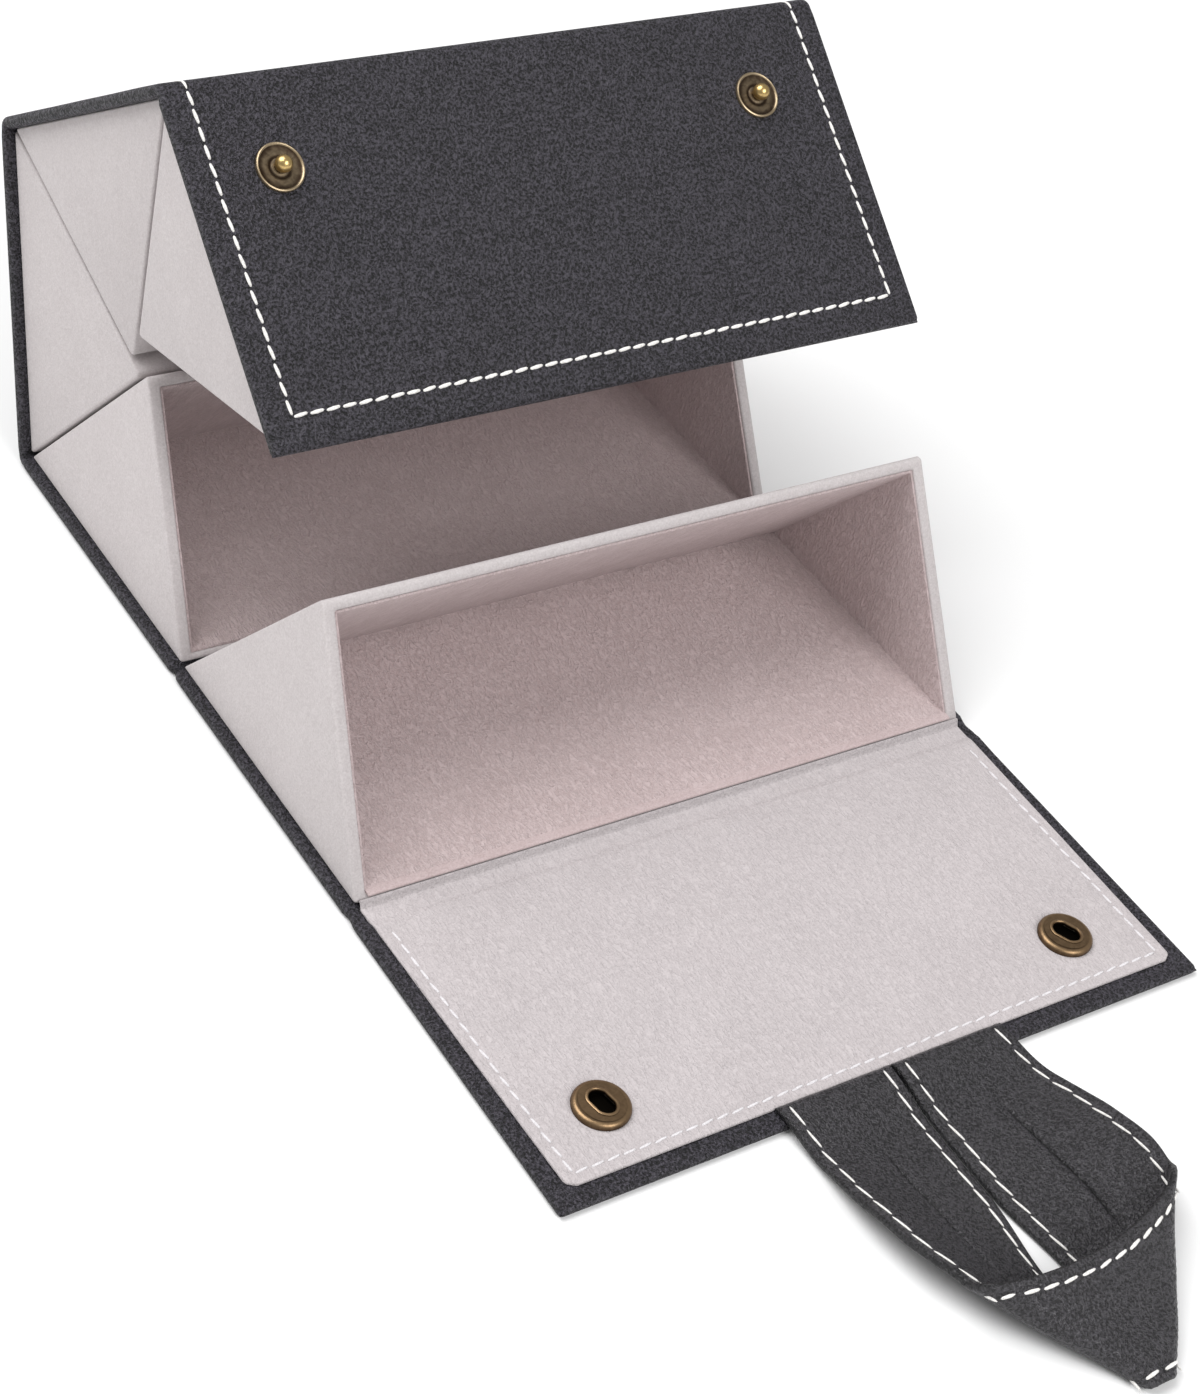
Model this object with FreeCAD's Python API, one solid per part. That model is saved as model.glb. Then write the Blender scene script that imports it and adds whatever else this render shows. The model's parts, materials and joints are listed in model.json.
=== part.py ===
import FreeCAD, Part
import math
import os

# Roll-up folding case: a flap and five three-sided compartments joined by leather folds.
# Row frame: +X along the width, -Y towards the flap, +Z up, origin at the middle of the
# underside of compartment A, which lies flat on the table. All sizes in mm.

# Driving dimensions
WIDTH = 175.0          # length of every panel along X
PITCH = 82.0           # fold to fold on one compartment panel
COVER = 3.0            # thickness of a padded leather cover panel
SKIN = 0.8             # leather under the stiffener board
RIM = 1.6              # leather rim round the board
FOLD_GAP = 3.0         # a cover panel stops this far short of its fold
END_GAP = 1.0          # and this far short of the free end of the last compartment
STRIP = 1.0            # thickness of a leather fold strip
ROLL = 72.0            # turn at each fold when the case is rolled into a pentagon

BOX_GAP = 0.6          # a compartment stops this far short of its folds
LAST_GAP = 4.0         # the last one stops this far short of its free end, to clear the top of A
BOX_SIDE = 2.4         # and this far in from the end of the cover at its base
BOX_LEAN = 2.7         # each end wall leans in by this much over the full height
FRONT_ANGLE = 56.5     # slope of the open face
BACK_ANGLE = 51.5      # slope of the back wall; the two slopes and one fold's turn make 180 degrees
TIP_FLAT = 0.85        # the sharp top edge is taken down by this much
FLOOR = 1.2            # thickness of the lined floor board
BACK = 2.8             # thickness of the lined back wall
END_WALL = 3.0         # thickness of the lined end walls

FLAP_FOLD = 8.6        # the flap turns this far in front of compartment A
FLAP_REACH = 87.3      # front edge of the flap, from the front of compartment A
FLAP_COVER = 2.5       # leather thickness of the flap under its lining
LINING = 0.5           # lining sheet on the flap
LINING_EDGE = 4.4      # leather left showing round the flap lining

SNAP_X = 64.0          # half the spacing of the two snaps
SNAP_SHIFT = -1.7      # the pair of snaps sits a little to the left
STUD_ALONG = 62.0      # stud centre, from the free end of compartment E
STUD_R = 5.7
POST_R = 2.0           # ball on the post of a stud
NECK_R = 1.4           # and the neck behind it
POST_H = 4.4
SOCKET_R = 6.8
SOCKET_H = 2.2
SOCKET_HOLE = 2.9
SLOT_TURN = {-1: 10.0, 1: 27.0}    # turn of each socket's slot, left and right
SPRING_R = 0.35
CAP_R = 6.2
CAP_TOP = 3.2

STRAP_MID = 2.0        # middle of the handle along X
BAND = 28.4            # width of the folded leather band
SLIT = 2.0             # gap between the two bands
BAND_T = 2.2           # thickness of the folded band
STRAP_TURN = 54.0      # from the flap edge to where the band turns over
STRAP_POINT = 84.0     # from the flap edge to the point of the handle
STRAP_RISE = 13.0      # height of the folded-over edge above the table

FRONT_RUN = 1.0 / math.tan(math.radians(FRONT_ANGLE))
BACK_RUN = 1.0 / math.tan(math.radians(BACK_ANGLE))
BACK_SIN = math.sin(math.radians(BACK_ANGLE))
HALF = WIDTH / 2.0
TIP = (PITCH - 2.0 * BOX_GAP) / (FRONT_RUN + BACK_RUN)
LEAN = BOX_LEAN / TIP
NAMES = ["a", "b", "c", "d", "e"]
TURNS = [0.0, 0.0, ROLL, 2 * ROLL, 3 * ROLL]


def vec(x, y, z):
    return FreeCAD.Vector(x, y, z)


def block(x0, x1, y0, y1, z0, z1):
    return Part.makeBox(x1 - x0, y1 - y0, z1 - z0, vec(x0, y0, z0))


def disc(x, y, z0, z1, radius):
    return Part.makeCylinder(radius, z1 - z0, vec(x, y, z0))


def solid_from(faces):
    shell = Part.makeShell(faces)
    solid = Part.makeSolid(shell)
    if solid.Volume < 0:
        solid.reverse()
    return solid


def leaning_prism(profile, left, left_lean, right, right_lean):
    """Prism along X over a (y, z) outline. Its ends shift by their lean for each mm of height."""
    ends = []
    for base, lean in ((left, left_lean), (right, right_lean)):
        ends.append([vec(base + lean * z, y, z) for y, z in profile])
    faces = [Part.Face(Part.makePolygon(end + [end[0]])) for end in ends]
    count = len(profile)
    for i in range(count):
        j = (i + 1) % count
        ring = [ends[0][i], ends[0][j], ends[1][j], ends[1][i]]
        faces.append(Part.Face(Part.makePolygon(ring + [ring[0]])))
    return solid_from(faces)


def rounded(shape, radius, keep):
    edges = [edge for edge in shape.Edges if keep(edge)]
    return shape.makeFillet(radius, edges)


def upright(edge):
    ends = edge.Vertexes
    return abs(ends[0].Z - ends[1].Z) > 0.5


def fold_points():
    """Fold lines of the compartment chain as (y, z), from the front of A to the free end of E."""
    points = [(-PITCH / 2.0, COVER)]
    for turn in TURNS:
        y, z = points[-1]
        a = math.radians(turn)
        points.append((y + PITCH * math.cos(a), z + PITCH * math.sin(a)))
    return points


FOLDS = fold_points()


def place(shape, index):
    """Move a piece drawn on panel `index` (y from its first fold, z from its inner face)."""
    y, z = FOLDS[index]
    turned = shape.copy()
    turned.rotate(vec(0, 0, 0), vec(1, 0, 0), TURNS[index])
    turned.translate(vec(0, y, z))
    return turned


def front_at(z):
    """Where the open face is at height z above the panel."""
    return BOX_GAP + z * FRONT_RUN


def cover_and_board(y0, y1, z0, z1):
    """Leather tray with a stiffener board lying in it, open on the inner face."""
    tray = block(-HALF, HALF, y0, y1, z0, z1)
    tray = rounded(tray, 1.2, upright)
    pocket = block(-HALF + RIM, HALF - RIM, y0 + RIM, y1 - RIM, z0 + SKIN, z1 + 1.0)
    tray = tray.cut(pocket)
    gap = 0.1
    board = block(-HALF + RIM + gap, HALF - RIM - gap, y0 + RIM + gap, y1 - RIM - gap, z0 + SKIN, z1)
    return tray, board


def compartment(parts, index):
    """One compartment: lined floor, back wall and two end walls, open towards the flap."""
    name = NAMES[index]
    outer = HALF - BOX_SIDE
    inner = outer - END_WALL
    foot = PITCH - (LAST_GAP if name == "e" else BOX_GAP)
    inner_foot = foot - BACK / BACK_SIN
    top = (foot - BOX_GAP) / (FRONT_RUN + BACK_RUN) - TIP_FLAT
    meet_z = (inner_foot - BOX_GAP) / (FRONT_RUN + BACK_RUN)
    meet = (front_at(meet_z), meet_z)
    floor = [
        (front_at(0), 0),
        (foot, 0),
        (foot - FLOOR * BACK_RUN, FLOOR),
        (front_at(FLOOR), FLOOR),
    ]
    back = [
        (inner_foot - FLOOR * BACK_RUN, FLOOR),
        (foot - FLOOR * BACK_RUN, FLOOR),
        (foot - top * BACK_RUN, top),
        (front_at(top), top),
        meet,
    ]
    inside = [(front_at(FLOOR), FLOOR), (inner_foot - FLOOR * BACK_RUN, FLOOR), meet]
    parts["floor_" + name] = place(leaning_prism(floor, -outer, LEAN, outer, -LEAN), index)
    parts["back_wall_" + name] = place(leaning_prism(back, -outer, LEAN, outer, -LEAN), index)
    parts["left_wall_" + name] = place(leaning_prism(inside, -outer, LEAN, -inner, LEAN), index)
    parts["right_wall_" + name] = place(leaning_prism(inside, inner, -LEAN, outer, -LEAN), index)


def fold_strip(index):
    """Leather strip round the outside of the fold at the far edge of panel `index`."""
    reach = FOLD_GAP - 0.1
    turn = TURNS[index + 1] - TURNS[index]
    near = block(-HALF, HALF, -reach, 0.0, -COVER, -COVER + STRIP)
    far = block(-HALF, HALF, 0.0, reach, -COVER, -COVER + STRIP)
    far.rotate(vec(0, 0, 0), vec(1, 0, 0), turn)
    pieces = [near, far]
    if turn > 0:
        base = vec(-HALF, 0, 0)
        bend = Part.makeCylinder(COVER, WIDTH, base, vec(1, 0, 0), turn)
        core = Part.makeCylinder(COVER - STRIP, WIDTH + 2.0, vec(-HALF - 1.0, 0, 0), vec(1, 0, 0))
        bend = bend.cut(core).Solids[0]
        middle = bend.CenterOfMass
        angle = math.degrees(math.atan2(middle.z, middle.y))
        bend.rotate(vec(0, 0, 0), vec(1, 0, 0), -90.0 + turn / 2.0 - angle)
        pieces.append(bend)
    strip = pieces[0].fuse(pieces[1:]).removeSplitter()
    strip.translate(vec(0, PITCH, 0))
    return place(strip, index)


def stud_position(side):
    """Snap stud on the outer face of E, in E's panel coordinates."""
    return SNAP_SHIFT + side * SNAP_X, PITCH - STUD_ALONG


def socket_position(side):
    """The socket that meets that stud when the flap is closed, in the row frame."""
    along = STUD_ALONG - FLAP_FOLD * math.cos(math.radians(ROLL))
    return SNAP_SHIFT + side * SNAP_X, -PITCH / 2.0 - FLAP_FOLD - along


def ball_post(x, y, z0):
    """Ball-ended post with a shank through the leather and a riveted back, pointing down."""
    neck = disc(x, y, z0 - POST_H + POST_R, z0 + SKIN, NECK_R)
    ball = Part.makeSphere(POST_R, vec(x, y, z0 - POST_H + POST_R))
    rivet = disc(x, y, z0 + SKIN, z0 + SKIN + 0.8, 3.0)
    return neck.fuse([ball, rivet]).removeSplitter()


def stud_dish(x, y, z0):
    """Flat dish with a raised rim round the post, lying on the outer face and facing down."""
    dish = disc(x, y, z0 - 1.0, z0, STUD_R)
    dish = rounded(dish, 0.45, lambda e: len(e.Vertexes) == 1 and e.Vertexes[0].Z < z0 - 0.5)
    hollow = disc(x, y, z0 - 2.0, z0 - 0.4, STUD_R - 0.8)
    return dish.cut(hollow).cut(disc(x, y, z0 - 2.0, z0 + 1.0, NECK_R + 0.3))


def socket_ring(x, y, z0):
    """Domed socket ring with a slotted hole in which two springs lie."""
    ring = disc(x, y, z0, z0 + SOCKET_H, SOCKET_R)
    ring = rounded(ring, 1.4, lambda e: len(e.Vertexes) == 1 and e.Vertexes[0].Z > z0 + 1)
    well = disc(x, y, z0 + SOCKET_H - 0.4, z0 + SOCKET_H + 1, 4.3)
    hole = disc(x, y, z0 - 1, z0 + SOCKET_H, SOCKET_HOLE)
    slot = block(x - SOCKET_HOLE, x + SOCKET_HOLE, y - 3.6, y + 3.6, z0 + 0.7, z0 + SOCKET_H)
    return ring.cut(well.fuse([hole, slot]))


def spring_pair(x, y, z0):
    wires = []
    for side in (-1, 1):
        offset = POST_R + 0.15 + SPRING_R
        start = vec(x + side * offset, y - 3.5, z0 + 0.7 + SPRING_R)
        wires.append(Part.makeCylinder(SPRING_R, 7.0, start, vec(0, 1, 0)))
    return wires


def snap_cap(x, y):
    """Flat cap let into the outside of the flap, with the tube that holds the socket."""
    cap = disc(x, y, 0.0, 0.6, CAP_R)
    tube = disc(x, y, 0.6, CAP_TOP, SOCKET_HOLE - 0.1)
    return cap.fuse(tube).removeSplitter()


def flap(parts):
    front = -PITCH / 2.0 - FLAP_REACH
    rear = -PITCH / 2.0 - FLAP_FOLD - FOLD_GAP
    tray, board = cover_and_board(front, rear, 0.0, FLAP_COVER)
    side = HALF - LINING_EDGE
    lining = block(-side, side, front + LINING_EDGE, rear, FLAP_COVER, FLAP_COVER + LINING)
    caps = []
    rings = []
    springs = []
    for sign in (-1, 1):
        x, y = socket_position(sign)
        caps.append(snap_cap(x, y))
        ring = socket_ring(x, y, FLAP_COVER + LINING)
        pair = spring_pair(x, y, FLAP_COVER + LINING)
        for piece in [ring] + pair:
            piece.rotate(vec(x, y, 0), vec(0, 0, 1), SLOT_TURN[sign])
        rings.append(ring)
        springs.extend(pair)
        bore = disc(x, y, -1.0, 10.0, SOCKET_HOLE)
        tray = tray.cut(bore).cut(disc(x, y, -1.0, 0.6, CAP_R + 0.1))
        board = board.cut(bore)
        lining = lining.cut(bore)
    parts["flap_cover"] = tray
    parts["flap_board"] = board
    parts["flap_lining"] = lining
    parts["snap_caps"] = Part.Compound(caps)
    parts["snap_sockets"] = Part.Compound(rings)
    parts["snap_springs"] = Part.Compound(springs)
    tabs = []
    for sign in (-1, 1):
        near = STRAP_MID + sign * SLIT / 2.0
        far = STRAP_MID + sign * (SLIT / 2.0 + BAND)
        tab = block(min(near, far), max(near, far), front - 1.0, front + LINING_EDGE, FLAP_COVER, FLAP_COVER + BAND_T)
        tabs.append(tab)
    parts["strap_tabs"] = Part.Compound(tabs)


def faceted_solid(sections):
    """Closed solid over a row of outlines with the same number of corners, in flat triangles."""
    faces = []
    for outline in (sections[0], sections[-1]):
        faces.append(Part.Face(Part.makePolygon(outline + [outline[0]])))
    count = len(sections[0])
    for near, far in zip(sections, sections[1:]):
        for i in range(count):
            j = (i + 1) % count
            for ring in ([near[i], near[j], far[j]], [near[i], far[j], far[i]]):
                faces.append(Part.Face(Part.makePolygon(ring + [ring[0]])))
    return solid_from(faces)


def band_section(sign, y, inner_z, outer_z):
    """Outline of one band at a given y, from its inner to its outer edge."""
    near = STRAP_MID + sign * SLIT / 2.0
    far = near + sign * BAND
    return [
        vec(near, y, inner_z),
        vec(far, y, outer_z),
        vec(far, y, outer_z + BAND_T),
        vec(near, y, inner_z + BAND_T),
    ]


def point_section(y, outline):
    """Full outline of the turned-over point at a given y, from its right half as (x, z)."""
    right = [vec(STRAP_MID + x, y, z) for x, z in outline]
    left = [vec(STRAP_MID - x, y, z) for x, z in reversed(outline)]
    return right + left


def handle():
    """Loop handle: two bands side by side, turned over at the front into a raised point."""
    edge = -PITCH / 2.0 - FLAP_REACH
    turn = edge - STRAP_TURN
    point = edge - STRAP_POINT
    high = STRAP_RISE - BAND_T
    half_slit = SLIT / 2.0
    wide = half_slit + BAND
    crown = 1.2
    bands = []
    for sign in (-1, 1):
        bands.append(faceted_solid([
            band_section(sign, edge - 1.3, FLAP_COVER, FLAP_COVER),
            band_section(sign, edge - 5.0, 1.6, 1.8),
            band_section(sign, edge - 10.0, 0.2, 0.8),
            band_section(sign, edge - 30.0, 0.0, 3.6),
            band_section(sign, turn, 0.0, high),
        ]))
    meet = 1.0 - BAND_T / (high + crown)
    nose = faceted_solid([
        point_section(turn, [
            (half_slit, 0.0), (wide, high), (wide, high + BAND_T), (half_slit, high + BAND_T + crown),
        ]),
        point_section(point, [
            (half_slit, 0.0), (half_slit + 1.2, 0.4), (half_slit + 1.2, BAND_T), (half_slit, BAND_T + 0.8),
        ]),
    ])
    hollow = faceted_solid([
        point_section(turn + 0.5, [
            (half_slit, BAND_T), (half_slit + meet * BAND, BAND_T + meet * high), (half_slit, high + crown),
        ]),
        point_section(point + 9.0, [
            (half_slit, BAND_T), (half_slit + 1.5, BAND_T + 0.4), (half_slit, BAND_T + 0.9),
        ]),
    ])
    return nose.cut(hollow).fuse(bands).removeSplitter()


def build():
    parts = {}
    flap(parts)
    flap_strip = block(
        -HALF, HALF,
        -PITCH / 2.0 - FLAP_FOLD - FOLD_GAP + 0.1, -PITCH / 2.0 + 0.5,
        0.0, STRIP,
    )
    parts["fold_strip_flap"] = flap_strip
    parts["fold_lining_flap"] = block(
        -HALF + LINING_EDGE, HALF - LINING_EDGE,
        -PITCH / 2.0 - FLAP_FOLD, -PITCH / 2.0 + 0.5,
        STRIP, STRIP + 0.8,
    )
    for index, name in enumerate(NAMES):
        y0 = 0.6 if index == 0 else FOLD_GAP
        y1 = PITCH - (END_GAP if name == "e" else FOLD_GAP)
        tray, board = cover_and_board(y0, y1, -COVER, 0.0)
        if name == "e":
            for sign in (-1, 1):
                x, y = stud_position(sign)
                tray = tray.cut(disc(x, y, -5.0, 1.0, NECK_R + 0.1))
                board = board.cut(disc(x, y, -5.0, 1.0, 3.1))
        parts["cover_" + name] = place(tray, index)
        parts["board_" + name] = place(board, index)
        compartment(parts, index)
        if name != "e":
            parts["fold_strip_" + name + NAMES[index + 1]] = fold_strip(index)
    dishes = []
    posts = []
    for sign in (-1, 1):
        x, y = stud_position(sign)
        dishes.append(place(stud_dish(x, y, -COVER), 4))
        posts.append(place(ball_post(x, y, -COVER), 4))
    parts["stud_dishes"] = Part.Compound(dishes)
    parts["stud_posts"] = Part.Compound(posts)
    parts["handle_strap"] = handle()
    return parts


os.makedirs("parts", exist_ok=True)
for name, shape in build().items():
    shape.exportStep("parts/" + name + ".step")
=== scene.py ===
# %% [markdown]
# A roll-up jewelry box: a lined flap, five three-sided compartments in a row on padded leather
# panels, two press snaps and a loop handle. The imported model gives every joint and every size.
# We load it first and build each visible piece round it, so nothing has to be fitted by eye.

# %% Load the frame
import json
import math

import bmesh
import bpy
import numpy as np
from mathutils import Matrix, Vector


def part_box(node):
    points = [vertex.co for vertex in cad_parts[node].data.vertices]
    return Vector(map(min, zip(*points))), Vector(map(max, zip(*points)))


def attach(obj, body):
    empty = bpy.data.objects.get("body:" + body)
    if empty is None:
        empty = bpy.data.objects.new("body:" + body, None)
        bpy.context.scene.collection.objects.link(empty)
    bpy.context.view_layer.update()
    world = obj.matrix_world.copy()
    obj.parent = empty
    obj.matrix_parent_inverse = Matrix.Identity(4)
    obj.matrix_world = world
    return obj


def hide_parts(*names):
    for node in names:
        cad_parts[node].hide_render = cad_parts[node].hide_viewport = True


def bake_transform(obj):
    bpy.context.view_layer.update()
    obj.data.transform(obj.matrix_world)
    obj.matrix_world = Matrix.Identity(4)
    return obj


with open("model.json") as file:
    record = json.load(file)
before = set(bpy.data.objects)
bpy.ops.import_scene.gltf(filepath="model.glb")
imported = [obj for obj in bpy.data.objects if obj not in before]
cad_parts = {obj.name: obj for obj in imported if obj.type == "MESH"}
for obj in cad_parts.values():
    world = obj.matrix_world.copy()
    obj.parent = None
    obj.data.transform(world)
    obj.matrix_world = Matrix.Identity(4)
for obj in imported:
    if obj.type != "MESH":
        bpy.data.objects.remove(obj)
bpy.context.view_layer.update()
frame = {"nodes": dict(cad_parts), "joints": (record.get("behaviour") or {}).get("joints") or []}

# %% [markdown]
# The camera looks down from the front left, a little tilted. It comes first, because every
# later choice of detail depends on what it sees. Its matrix is built from three directions:
# to the right of the picture, up in the picture, and backwards from the object.

# %% Camera
AZIMUTH, ELEVATION, ROLL_OF_CAMERA = (math.radians(a) for a in (-42.486, 38.368, 15.111))
CAMERA_DISTANCE = 0.74413
CAMERA_TARGET = Vector((0.029823, 0.036004, -0.008949))

backwards = Vector((
    math.sin(AZIMUTH) * math.cos(ELEVATION),
    -math.cos(AZIMUTH) * math.cos(ELEVATION),
    math.sin(ELEVATION),
))
level_right = (-backwards).cross(Vector((0, 0, 1))).normalized()
level_up = level_right.cross(-backwards)
camera_right = math.cos(ROLL_OF_CAMERA) * level_right + math.sin(ROLL_OF_CAMERA) * level_up
camera_up = math.cos(ROLL_OF_CAMERA) * level_up - math.sin(ROLL_OF_CAMERA) * level_right

camera = bpy.data.objects.new("camera", bpy.data.cameras.new("camera"))
bpy.context.scene.collection.objects.link(camera)
turned = Matrix((camera_right, camera_up, backwards)).transposed().to_4x4()
camera.matrix_world = Matrix.Translation(CAMERA_TARGET + backwards * CAMERA_DISTANCE) @ turned
camera.data.lens = 76.41
camera.data.shift_x = 0.0042
camera.data.shift_y = -0.0610
camera.data.clip_start = 0.01
bpy.context.scene.camera = camera
print("camera stands at", [round(v, 3) for v in camera.matrix_world.translation])

# %% [markdown]
# Each panel of the case has its own flat coordinates: x across, v along the row from the fold
# in front of it, and h up from its lined inner face. Designing in those coordinates, in mm,
# means that compartment A and compartment E are drawn by the same code, and a small function
# turns a point of any panel into its place in the frame.

# %% Fold lines and panel coordinates
joints = {j["name"]: j for j in frame["joints"]}


def axis_point(name):
    """Where a joint's axis crosses the middle plane, as (y, z) in mm."""
    return 1000 * np.array(joints[name]["pos_m"][1:])


ROLL = math.radians(72)
PITCH = float(axis_point("fold_b_c")[0] - axis_point("fold_a_b")[0])
COVER = float(axis_point("fold_a_b")[1])
HALF = 1000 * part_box("cover_c")[1].x
TURNS = [0, 0, ROLL, 2 * ROLL, 3 * ROLL]
folds = [axis_point("fold_a_b") - (PITCH, 0)]
folds += [axis_point(name) for name in ("fold_a_b", "fold_b_c", "fold_c_d", "fold_d_e")]
NAMES = "abcde"


def points(x, y, z):
    return np.stack(np.broadcast_arrays(x, y, z), axis=-1).astype(float)


def on_panel(index):
    """Function that places (x, v, h) of one panel in the frame, in mm."""
    c, s = math.cos(TURNS[index]), math.sin(TURNS[index])
    y0, z0 = folds[index]
    return lambda x, v, h: points(x, y0 + v * c - h * s, z0 + v * s + h * c)


def flat_in_frame(x, y, z):
    return points(x, y, z)


print("panel pitch", round(PITCH, 2), "cover", round(COVER, 2), "half width", round(HALF, 2))

# %% [markdown]
# Two helpers make nearly every mesh. `finish_mesh` turns points in mm into an object whose
# faces point outwards. `slab` makes a closed sheet over a grid: an upper and a lower surface,
# given as heights, joined round the border. Leather, lining and strap are all such sheets. A
# cube with a bevel would be quicker, but it can't have a sewn groove or a crease.

# %% Mesh helpers
def put_in_scene(name, mesh, material, sharp_from):
    """A linked object for a finished mesh, smooth where it bends softly."""
    mesh.polygons.foreach_set("use_smooth", [True] * len(mesh.polygons))
    mesh.set_sharp_from_angle(angle=math.radians(sharp_from))
    mesh.materials.append(material)
    piece = bpy.data.objects.new(name, mesh)
    bpy.context.scene.collection.objects.link(piece)
    return piece


def finish_mesh(name, coords, faces, material, sharp_from=35.0):
    """A linked object from points in mm, with doubles merged and faces outwards."""
    mesh = bpy.data.meshes.new(name)
    mesh.from_pydata((np.asarray(coords) / 1000).tolist(), [], faces)
    work = bmesh.new()
    work.from_mesh(mesh)
    bmesh.ops.remove_doubles(work, verts=work.verts, dist=1e-6)
    bmesh.ops.recalc_face_normals(work, faces=work.faces)
    work.to_mesh(mesh)
    work.free()
    return put_in_scene(name, mesh, material, sharp_from)


def grid_faces(rows, columns, offset=0, turned_over=False):
    """Quads over a rows x columns grid of points."""
    i, j = np.meshgrid(np.arange(rows - 1), np.arange(columns - 1), indexing="ij")
    a = (offset + i * columns + j).ravel()
    quads = np.stack([a, a + columns, a + columns + 1, a + 1], axis=1)
    return (quads[:, ::-1] if turned_over else quads).tolist()


def closed_sheet(upper, lower):
    """Points and faces of a closed sheet between two grids of points of the same size."""
    rows, columns = upper.shape[:2]
    count = rows * columns
    coords = np.concatenate([upper.reshape(-1, 3), lower.reshape(-1, 3)])
    faces = grid_faces(rows, columns) + grid_faces(rows, columns, count, True)
    border = [i * columns for i in range(rows)]
    border += [(rows - 1) * columns + j for j in range(1, columns)]
    border += [i * columns + columns - 1 for i in range(rows - 2, -1, -1)]
    border += list(range(columns - 2, 0, -1))
    for a, b in zip(border, border[1:] + border[:1]):
        faces.append([a + count, b + count, b, a])
    return coords, faces


EDGE_SHADE = 0.6       # how dark the painted shade on a sheet's cut sides is, from 0 to 1


def slab(name, across, along, low, high, place, material, free_end=None):
    """Closed sheet over a grid of x and v, from height low(x, v) to high(x, v).

    Its sides, and the row `free_end`, get painted shade: they are coloured darker, as if in shadow.
    """
    x, v = np.meshgrid(across, along, indexing="ij")
    coords, faces = closed_sheet(place(x, v, high(x, v)), place(x, v, low(x, v)))
    piece = finish_mesh(name, coords, faces, material)
    sides = np.zeros(x.shape)
    sides[[0, -1], :] = EDGE_SHADE
    if free_end is not None:
        sides[:, free_end] = EDGE_SHADE
    darkened(piece, sides, sides)
    return piece


def darkened(piece, upper, lower):
    """Store how much painted shade darkens the leather of a closed sheet at each of its points."""
    values = np.concatenate([upper.ravel(), lower.ravel()])
    piece.data.attributes.new("painted_shade", "FLOAT", "POINT").data.foreach_set("value", values)


def ring_stack_faces(rings, steps, start=0):
    """Faces of a closed body made of a stack of rings, each of the same number of points."""
    faces = []
    for k in range(rings - 1):
        a, b = start + k * steps, start + (k + 1) * steps
        faces += [[a + i, a + (i + 1) % steps, b + (i + 1) % steps, b + i] for i in range(steps)]
    first = [start + i for i in range(steps)]
    return faces + [first[::-1], [(rings - 1) * steps + i for i in first]]


def smooth_step(t):
    t = np.clip(t, 0, 1)
    return t * t * (3 - 2 * t)


def edge_drop(radius, *insets):
    """How far a rounded edge falls, from the distances to the sides of a sheet."""
    total = sum(np.clip(radius - inset, 0, radius) ** 2 for inset in insets)
    return radius - np.sqrt(np.clip(radius * radius - total, 0, None))


def edge_steps(radius):
    """Distances from an edge at which a rounded edge gets a row of points."""
    return [radius * (1 - math.cos(math.radians(a))) for a in (0, 15, 32, 50, 70, 90)]


# %% [markdown]
# Every finish starts the same way: a Principled shader, patterns read in Object coordinates so
# that a grain of one millimetre is one millimetre, and bumps that are chained. A small class
# keeps the node code short. Image textures would need files, and wouldn't stay sharp.

# %% A small kit for finishes
class Finish:
    """One material: its shader, and helpers that add pattern nodes."""

    def __init__(self, name, colour, roughness, **settings):
        self.material = bpy.data.materials.new(name)
        self.material.use_nodes = True
        self.nodes = self.material.node_tree.nodes
        self.links = self.material.node_tree.links
        self.shader = self.nodes["Principled BSDF"]
        self.shader.inputs["Base Color"].default_value = (*colour, 1)
        self.shader.inputs["Roughness"].default_value = roughness
        for key, value in settings.items():
            self.shader.inputs[key.replace("_", " ")].default_value = value
        self.where = self.nodes.new("ShaderNodeTexCoord").outputs["Object"]
        self.last_bump = None

    def add(self, kind, inputs=(), **properties):
        node = self.nodes.new(kind)
        for key, value in properties.items():
            setattr(node, key, value)
        for key, value in dict(inputs).items():
            if isinstance(value, bpy.types.NodeSocket):
                self.links.new(value, node.inputs[key])
            else:
                node.inputs[key].default_value = value
        return node

    def noise(self, per_metre, detail=3.0, distortion=0.0, vector=None):
        settings = {"Vector": vector or self.where, "Scale": per_metre, "Detail": detail}
        settings["Distortion"] = distortion
        return self.add("ShaderNodeTexNoise", settings).outputs["Fac"]

    def spread(self, value, low, high, to_low=0.0, to_high=1.0):
        """The value from low to high, stretched smoothly to another span."""
        settings = {0: value, 1: low, 2: high, 3: to_low, 4: to_high}
        node = self.add("ShaderNodeMapRange", settings, interpolation_type="SMOOTHSTEP")
        return node.outputs[0]

    def sum(self, a, b, share=1.0):
        node = self.add("ShaderNodeMath", {0: b, 1: share, 2: a}, operation="MULTIPLY_ADD")
        return node.outputs[0]

    def colours(self, fac, first, second):
        """A mix of two colours, each plain or from another node."""
        ends = [c if isinstance(c, bpy.types.NodeSocket) else (*c, 1) for c in (first, second)]
        settings = {"Factor": fac, 6: ends[0], 7: ends[1]}
        return self.add("ShaderNodeMix", settings, data_type="RGBA").outputs[2]

    def raised(self, height, millimetres, strength=1.0):
        """Add a bump of that height on top of the bumps so far."""
        settings = {"Height": height, "Distance": millimetres / 1000, "Strength": strength}
        if self.last_bump is not None:
            settings["Normal"] = self.last_bump
        self.last_bump = self.add("ShaderNodeBump", settings).outputs["Normal"]

    def done(self, colour=None, roughness=None):
        for key, value in (("Base Color", colour), ("Roughness", roughness)):
            if value is not None:
                self.links.new(value, self.shader.inputs[key])
        if self.last_bump is not None:
            self.links.new(self.last_bump, self.shader.inputs["Normal"])
        print("finish:", self.material.name)
        return self.material


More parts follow.
